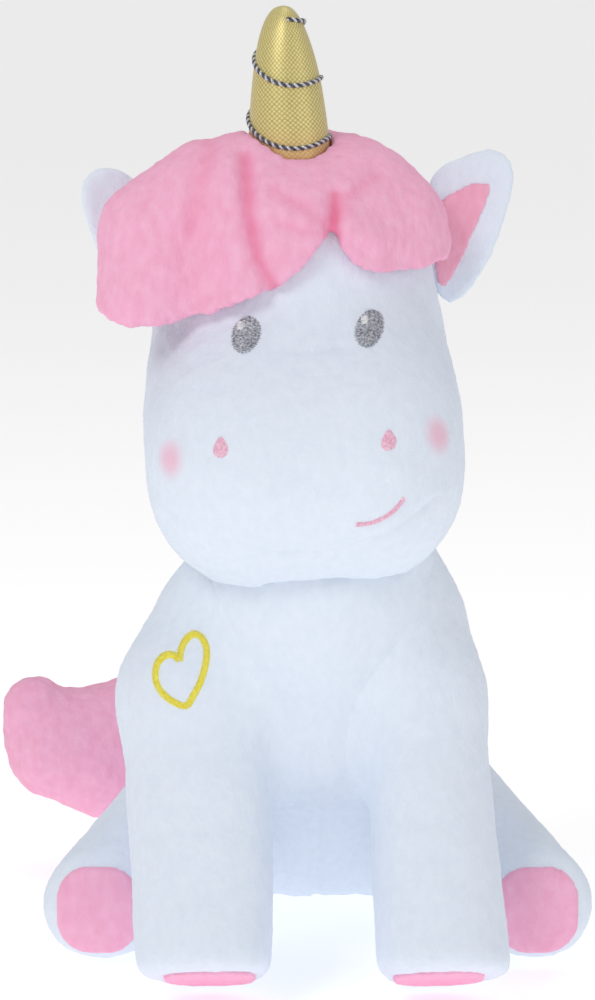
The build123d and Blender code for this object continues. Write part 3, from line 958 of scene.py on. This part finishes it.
# ---- ears
for sign, name in SIDES:
    low, high = bounds_of(f"{name}_ear_back", f"{name}_ear_lining", grow=4)
    ear = cloth_form(f"{name}_ear_cover", lambda p, s=sign: ear_field(s, p), low, high, 1.5)
    refine(ear)
    push(ear, 0.15 * pile(coordinates(ear), 1.6))
    dress(ear, white_plush, f"{name}_ear")
    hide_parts(f"{name}_ear_back")
    lining = cloth_form(f"{name}_ear_pink", lambda p, s=sign: lining_field(s, p), low, high, 0.9)
    refine(lining)
    dress(lining, pink_lining, f"{name}_ear")
    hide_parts(f"{name}_ear_lining")

# ---- soles and fillings
for sign, name in SIDES:
    for kind, field, wide in (("foreleg", foresole_field, 0.0236), ("hindleg", hindsole_field, 0.0212)):
        low, high = bounds_of(f"{name}_{kind}_sole", grow=4)
        sole = cloth_form(f"{name}_{kind}_patch", lambda p, f=field, s=sign: f(s, p), low, high, 0.9)
        refine(sole)
        push(sole, 0.05 * pile(coordinates(sole), 1.5))
        dress(sole, pink_plush, f"{name}_{kind}")
        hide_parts(f"{name}_{kind}_sole")


def core(name, field, node, body, finish):
    """A filling in place of its CAD node, just inside the cloth."""
    made = cloth_form(name, field, *bounds_of(node), 3.4)
    dress(made, finish, body)
    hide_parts(node)
    return made


core("torso_filling", torso_fill_field, "torso_fill", "torso", stuffing)
core("bean_pouch_cloth", pouch_field, "bean_pouch", "torso", bean_cloth)
core("head_filling", head_fill_field, "head_fill", "head", stuffing)
core("tail_filling", lambda p: tail_field(p) + fill_inset, "tail_fill", "tail", stuffing)
limb = {key: [leg] for key, leg in legs.items()}
for sign, name in SIDES:
    for kind, field in (("foreleg", foreleg_field), ("hindleg", hindleg_field)):
        filling = core(f"{name}_{kind}_filling", lambda p, f=field, s=sign: f(s, p) + fill_inset,
                       f"{name}_{kind}_fill", None, stuffing)
        limb[name, kind].append(filling)


# ---- threads, laid on the cloth
def ring_faces(rows, around):
    """Quads between rings of corners that follow one another."""
    faces = []
    for row in range(rows - 1):
        low, high = row * around, (row + 1) * around
        for k in range(around):
            n = (k + 1) % around
            faces.append((low + k, low + n, high + n, high + k))
    return faces


def tube(path, radius, sides=6):
    """A closed tube along a path of points, as corners and faces."""
    path = np.asarray(path, float)
    tangent = np.gradient(path, axis=0)
    tangent /= np.linalg.norm(tangent, axis=1)[:, None]
    across = np.cross(tangent, (0.0, -1.0, 0.0))
    across /= np.maximum(np.linalg.norm(across, axis=1), 1e-6)[:, None]
    raised = np.cross(across, tangent)
    taper = np.ones(len(path))
    taper[0] = taper[-1] = 0.45
    corners = []
    for k in range(sides):
        turn = 2 * math.pi * k / sides
        ring = across * math.cos(turn) + raised * math.sin(turn)
        corners.append(path + ring * (radius * taper)[:, None])
    corners = np.stack(corners, 1).reshape(-1, 3)
    count = len(path)
    faces = ring_faces(count, sides)
    faces.append(tuple(range(sides - 1, -1, -1)))
    faces.append(tuple((count - 1) * sides + k for k in range(sides)))
    return corners, faces


def gather(name, parts):
    """One piece from several lists of corners and faces."""
    corners, faces, start = [], [], 0
    for part_corners, part_faces in parts:
        corners.append(part_corners)
        faces += [tuple(index + start for index in face) for face in part_faces]
        start += len(part_corners)
    return new_piece(name, np.concatenate(corners), faces)


foreleg_tree = tree_of(legs["right", "foreleg"])


def stitch(tree, start, end, radius, arch, steps=6):
    """One satin stitch that arches over the cloth between two places seen from the front."""
    path = []
    for step in range(steps + 1):
        share = step / steps
        x = start[0] + (end[0] - start[0]) * share
        z = start[1] + (end[1] - start[1]) * share
        lift = arch * math.sin(math.pi * min(max(share, 0.0), 1.0)) - 0.15
        place = laid(tree, x, z, lift)
        if place is None:
            return None
        path.append(place)
    return tube(path, radius, 6)


def oval(name, node, tree, slant, radius, arch, body, finish, wobble=0.0, tall=1.0, taper=0.0):
    """An oval filled with slanting satin stitches, in its CAD node's place."""
    low, high = box(node)
    centre_x, centre_z = (low[0] + high[0]) / 2, (low[2] + high[2]) / 2
    half_x, half_z = (high[0] - low[0]) / 2, (high[2] - low[2]) / 2 * tall
    parts = []
    rows = int(2 * half_z / (radius * 1.55))
    for row in range(rows):
        level = -half_z + (row + 0.5) * 2 * half_z / rows
        half = half_x * math.sqrt(max(1 - (level / half_z) ** 2, 0.0)) * (1 - taper * level / half_z)
        if half < radius:
            continue
        wave = wobble * math.sin(row * 2.4)
        lean = slant * half
        start = (centre_x - half - wave, centre_z + level - lean)
        end = (centre_x + half + wave, centre_z + level + lean)
        made = stitch(tree, start, end, radius, arch, 8)
        if made:
            parts.append(made)
    piece = gather(name, parts)
    dress(piece, finish, body)
    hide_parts(node)
    return piece


for name in ("left", "right"):
    oval(f"{name}_eye_stitches", f"{name}_eye", head_tree, 0.25, 0.24, 0.55, "head",
         silver_thread, 0.12, tall=0.82)
    low, high = box(f"{name}_eye")
    centre = (low + high) / 2
    glint_parts = []
    for row in range(5):
        level = centre[2] + 0.9 + row * 0.42
        half = 1.15 * math.sqrt(1 - ((row - 2) / 2.9) ** 2)
        x = centre[0] - 1.3
        made = stitch(head_tree, (x - half, level), (x + half, level), 0.22, 0.95, 5)
        if made:
            glint_parts.append(made)
    glint = gather(f"{name}_eye_glint", glint_parts)
    dress(glint, glint_thread, "head")
    oval(f"{name}_nostril_stitches", f"{name}_nostril", head_tree, 0.1, 0.20, 0.4, "head",
         pink_thread, 0.05, tall=0.95, taper=0.35)


def satin_line(name, tree, path, width, spacing, radius, arch, closed=False):
    """Stitches side by side across a line of places seen from the front."""
    path = np.asarray(path, float)
    if closed:
        path = np.concatenate([path, path[:1]])
    lengths = np.concatenate([[0], np.cumsum(np.linalg.norm(np.diff(path, axis=0), axis=1))])
    count = int(lengths[-1] / spacing)
    parts = []
    for index in range(count):
        at = (index + 0.5) * lengths[-1] / count
        x, z = np.interp(at, lengths, path[:, 0]), np.interp(at, lengths, path[:, 1])
        before = [np.interp(max(at - 0.4, 0), lengths, path[:, k]) for k in (0, 1)]
        after = [np.interp(min(at + 0.4, lengths[-1]), lengths, path[:, k]) for k in (0, 1)]
        run = np.array(after) - np.array(before)
        run /= max(np.linalg.norm(run), 1e-6)
        across = np.array([-run[1], run[0]]) + run * 0.25
        half = across * width / 2
        made = stitch(tree, (x - half[0], z - half[1]), (x + half[0], z + half[1]), radius, arch, 5)
        if made:
            parts.append(made)
    return gather(name, parts)


mouth_middle = on_head(13.5, 0, 33.5)
mouth_radius = 13.0
mouth_path = []
for step in range(25):
    turn = math.radians(-95 + 62 * step / 24) + math.radians(2.5)
    mouth_path.append((
        mouth_middle[0] + mouth_radius * math.cos(turn), mouth_middle[2] + mouth_radius * math.sin(turn),
    ))
mouth = satin_line("mouth_stitches", head_tree, mouth_path, 1.3, 0.42, 0.24, 0.3)
dress(mouth, pink_thread, "head")
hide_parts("mouth")

# ---- heart
low, high = box("heart")
heart_middle = (low + high) / 2
heart_shape = smooth_outline([
    (-2.5, 2.3), (-2.2, 4.6), (-1.0, 6.9), (1.0, 8.4), (3.1, 7.7), (4.3, 5.1), (4.1, 1.5), (2.85, -2.65),
    (1.0, -6.0), (-0.65, -8.4), (-3.4, -7.8), (-6.5, -6.0), (-8.4, -3.2), (-8.5, 0.0), (-7.25, 2.3),
    (-5.4, 3.4), (-3.6, 3.2),
], 4)
heart_path = [(heart_middle[0] + x + 1.5, heart_middle[2] + z) for x, z in heart_shape]
heart = satin_line("heart_stitches", foreleg_tree, heart_path, 1.9, 0.40, 0.24, 0.45, closed=True)
dress(heart, yellow_thread)
limb["right", "foreleg"].append(heart)
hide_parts("heart")


# ---- horn and its cord
def on_horn(turn, height, out=0.0):
    radius = float(horn_radius(height)) + out
    root = horn_root + up_axis * height
    return root + side_axis * radius * math.cos(turn) + back_axis * radius * math.sin(turn)


def make_horn():
    around, rows = 72, 60
    heights = [horn_length * (1 - (1 - row / rows) ** 1.7) for row in range(rows + 1)]
    corners = []
    for height in heights[:-1]:
        for k in range(around):
            turn = 2 * math.pi * k / around
            dent = 0.25 * math.sin(3 * turn + height * 0.12) * ramp(height, 20, 42)
            dent -= 0.5 * bump(np.array(math.remainder(turn - math.pi / 2, 2 * math.pi)), 0.08)
            corners.append(on_horn(turn, height, dent))
    tip = len(corners)
    corners.append(horn_root + up_axis * 44.7)
    base = len(corners)
    corners.append(horn_root - up_axis * 2.0)
    faces = ring_faces(rows, around)
    for k in range(around):
        n = (k + 1) % around
        faces.append(((rows - 1) * around + k, (rows - 1) * around + n, tip))
        faces.append((n, k, base))
    horn = new_piece("horn_cover", np.array(corners), faces)
    layer = horn.data.uv_layers.new(name="UVMap")
    pitch = 0.85
    for polygon in horn.data.polygons:
        for loop in polygon.loop_indices:
            index = horn.data.loops[loop].vertex_index
            place = np.array(corners[index])
            away = place - horn_root
            height = away @ up_axis
            turn = math.atan2(away @ back_axis, away @ side_axis)
            middle = np.mean([np.array(corners[v]) for v in polygon.vertices], axis=0) - horn_root
            middle_turn = math.atan2(middle @ back_axis, middle @ side_axis)
            turn = middle_turn + math.remainder(turn - middle_turn, 2 * math.pi)
            around_cloth = turn * 8.6
            slanted = (height + around_cloth, height - around_cloth)
            layer.data[loop].uv = [place * 0.72 / pitch for place in slanted]
    return horn


horn = make_horn()
dress(horn, gold_cloth, "horn")
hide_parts("horn_skin")


cord_start, cord_end = -1.72, 0.8      # turns, counted from the lower crossing's left end
cord_left = 17.2           # height of that end above the horn's root
cord_fall = 14.9           # per turn
cord_top = 43.2
ply_radius = 0.36
ply_offset = 0.30
ply_pitch = 2.0


def cord_middle(turns):
    """The wound cord's line: it falls slowly across the front and faster behind."""
    turn = math.pi + 2 * math.pi * turns
    wave = -2.7 * math.sin(turn - math.pi) - 1.05 * math.cos(turn - math.pi) + 1.03 * math.cos(2 * turn)
    height = cord_left - cord_fall * turns
    return turn, height + wave * float(horn_radius(min(max(height, 0), 42))) / 10


def make_cord():
    plies = {0: [], 1: []}
    middle = []
    steps = 700
    for step in range(steps + 1):
        turn, height = cord_middle(cord_start + (cord_end - cord_start) * step / steps)
        middle.append(on_horn(turn, min(height, cord_top), 0.25))
    middle = np.array(middle)
    tangent = np.gradient(middle, axis=0)
    tangent /= np.linalg.norm(tangent, axis=1)[:, None]
    outward = middle - (horn_root + np.outer((middle - horn_root) @ up_axis, up_axis))
    outward /= np.linalg.norm(outward, axis=1)[:, None]
    across = np.cross(tangent, outward)
    length = np.concatenate([[0], np.cumsum(np.linalg.norm(np.diff(middle, axis=0), axis=1))])
    for ply in plies:
        phase = length * 2 * math.pi / ply_pitch + math.pi * ply
        path = middle + ply_offset * (outward * np.cos(phase)[:, None] + across * np.sin(phase)[:, None])
        plies[ply] = tube(path, ply_radius, 7)
    return plies


plies = make_cord()
for ply, (finish, label) in enumerate(((silver_ply, "silver"), (dark_ply, "dark"))):
    piece = gather(f"horn_cord_{label}_ply", [plies[ply]])
    dress(piece, finish, "horn")
    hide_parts("horn_cord")

# ---- limb pieces: their placement baked into their meshes
for sign, name in SIDES:
    shoulder, toe, along = foreleg_line(sign)
    for piece in limb[name, "foreleg"]:
        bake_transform(piece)
    hip, end = hindleg_line(sign)
    for piece in limb[name, "hindleg"]:
        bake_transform(piece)

# CAD nodes that stay keep their shape and get a finish of their own
finish_of = {"horn_fill": stuffing, "neck_seam": white_thread}
for node, finish in finish_of.items():
    cad_object = frame["nodes"][node]
    for material_slot in cad_object.material_slots:
        material_slot.material = finish

# ---- floor, light and camera
floor_reach = 25.0
corners = [(x, y, 0) for x, y in ((-1, -1), (1, -1), (1, 1), (-1, 1))]
corners = [(x * floor_reach, y * floor_reach, z) for x, y, z in corners]
floor_mesh = bpy.data.meshes.new("floor")
floor_mesh.from_pydata(corners, [], [(0, 1, 2, 3)])
floor = bpy.data.objects.new("floor", floor_mesh)
bpy.context.scene.collection.objects.link(floor)
floor_material, _, floor_shader = material("floor_paper", 0.95)
floor_shader.inputs["Base Color"].default_value = (0.9, 0.9, 0.9, 1)
floor_shader.inputs["Emission Color"].default_value = (1, 1, 1, 1)
floor_shader.inputs["Emission Strength"].default_value = 0.42
floor_mesh.materials.append(floor_material)


def area_light(name, place, aim, size, watts, colour=(1, 1, 1)):
    data = bpy.data.lights.new(name, "AREA")
    data.shape = "DISK"
    data.size = size
    data.energy = watts
    data.color = colour
    lamp = bpy.data.objects.new(name, data)
    lamp.location = place
    lamp.rotation_euler = (Vector(aim) - Vector(place)).to_track_quat("-Z", "Y").to_euler()
    bpy.context.scene.collection.objects.link(lamp)


target = (0, -0.04, 0.12)
area_light("key", (-0.7, -1.1, 1.1), target, 0.6, 5.5)
area_light("fill", (1.1, -0.9, 0.6), target, 1.0, 1.6)
area_light("top", (0.0, 0.1, 1.3), target, 1.0, 2.5)

world = bpy.data.worlds.new("studio")
world.use_nodes = True
world.node_tree.nodes["Background"].inputs["Color"].default_value = (1, 1, 1, 1)
world.node_tree.nodes["Background"].inputs["Strength"].default_value = 0.45
bpy.context.scene.world = world
bpy.context.scene.view_settings.view_transform = "Standard"

camera_data = bpy.data.cameras.new("camera")
camera_data.sensor_width = 36
camera_data.lens = 140.9
camera = bpy.data.objects.new("camera", camera_data)
aside = -5.24 * MM
aim_point = Vector((aside, -0.079, 0.124))
elevation = math.radians(8.5)
camera.location = aim_point + Vector((0, -math.cos(elevation), math.sin(elevation)))
camera.rotation_euler = (aim_point - camera.location).to_track_quat("-Z", "Y").to_euler()
bpy.context.scene.collection.objects.link(camera)
bpy.context.scene.camera = camera
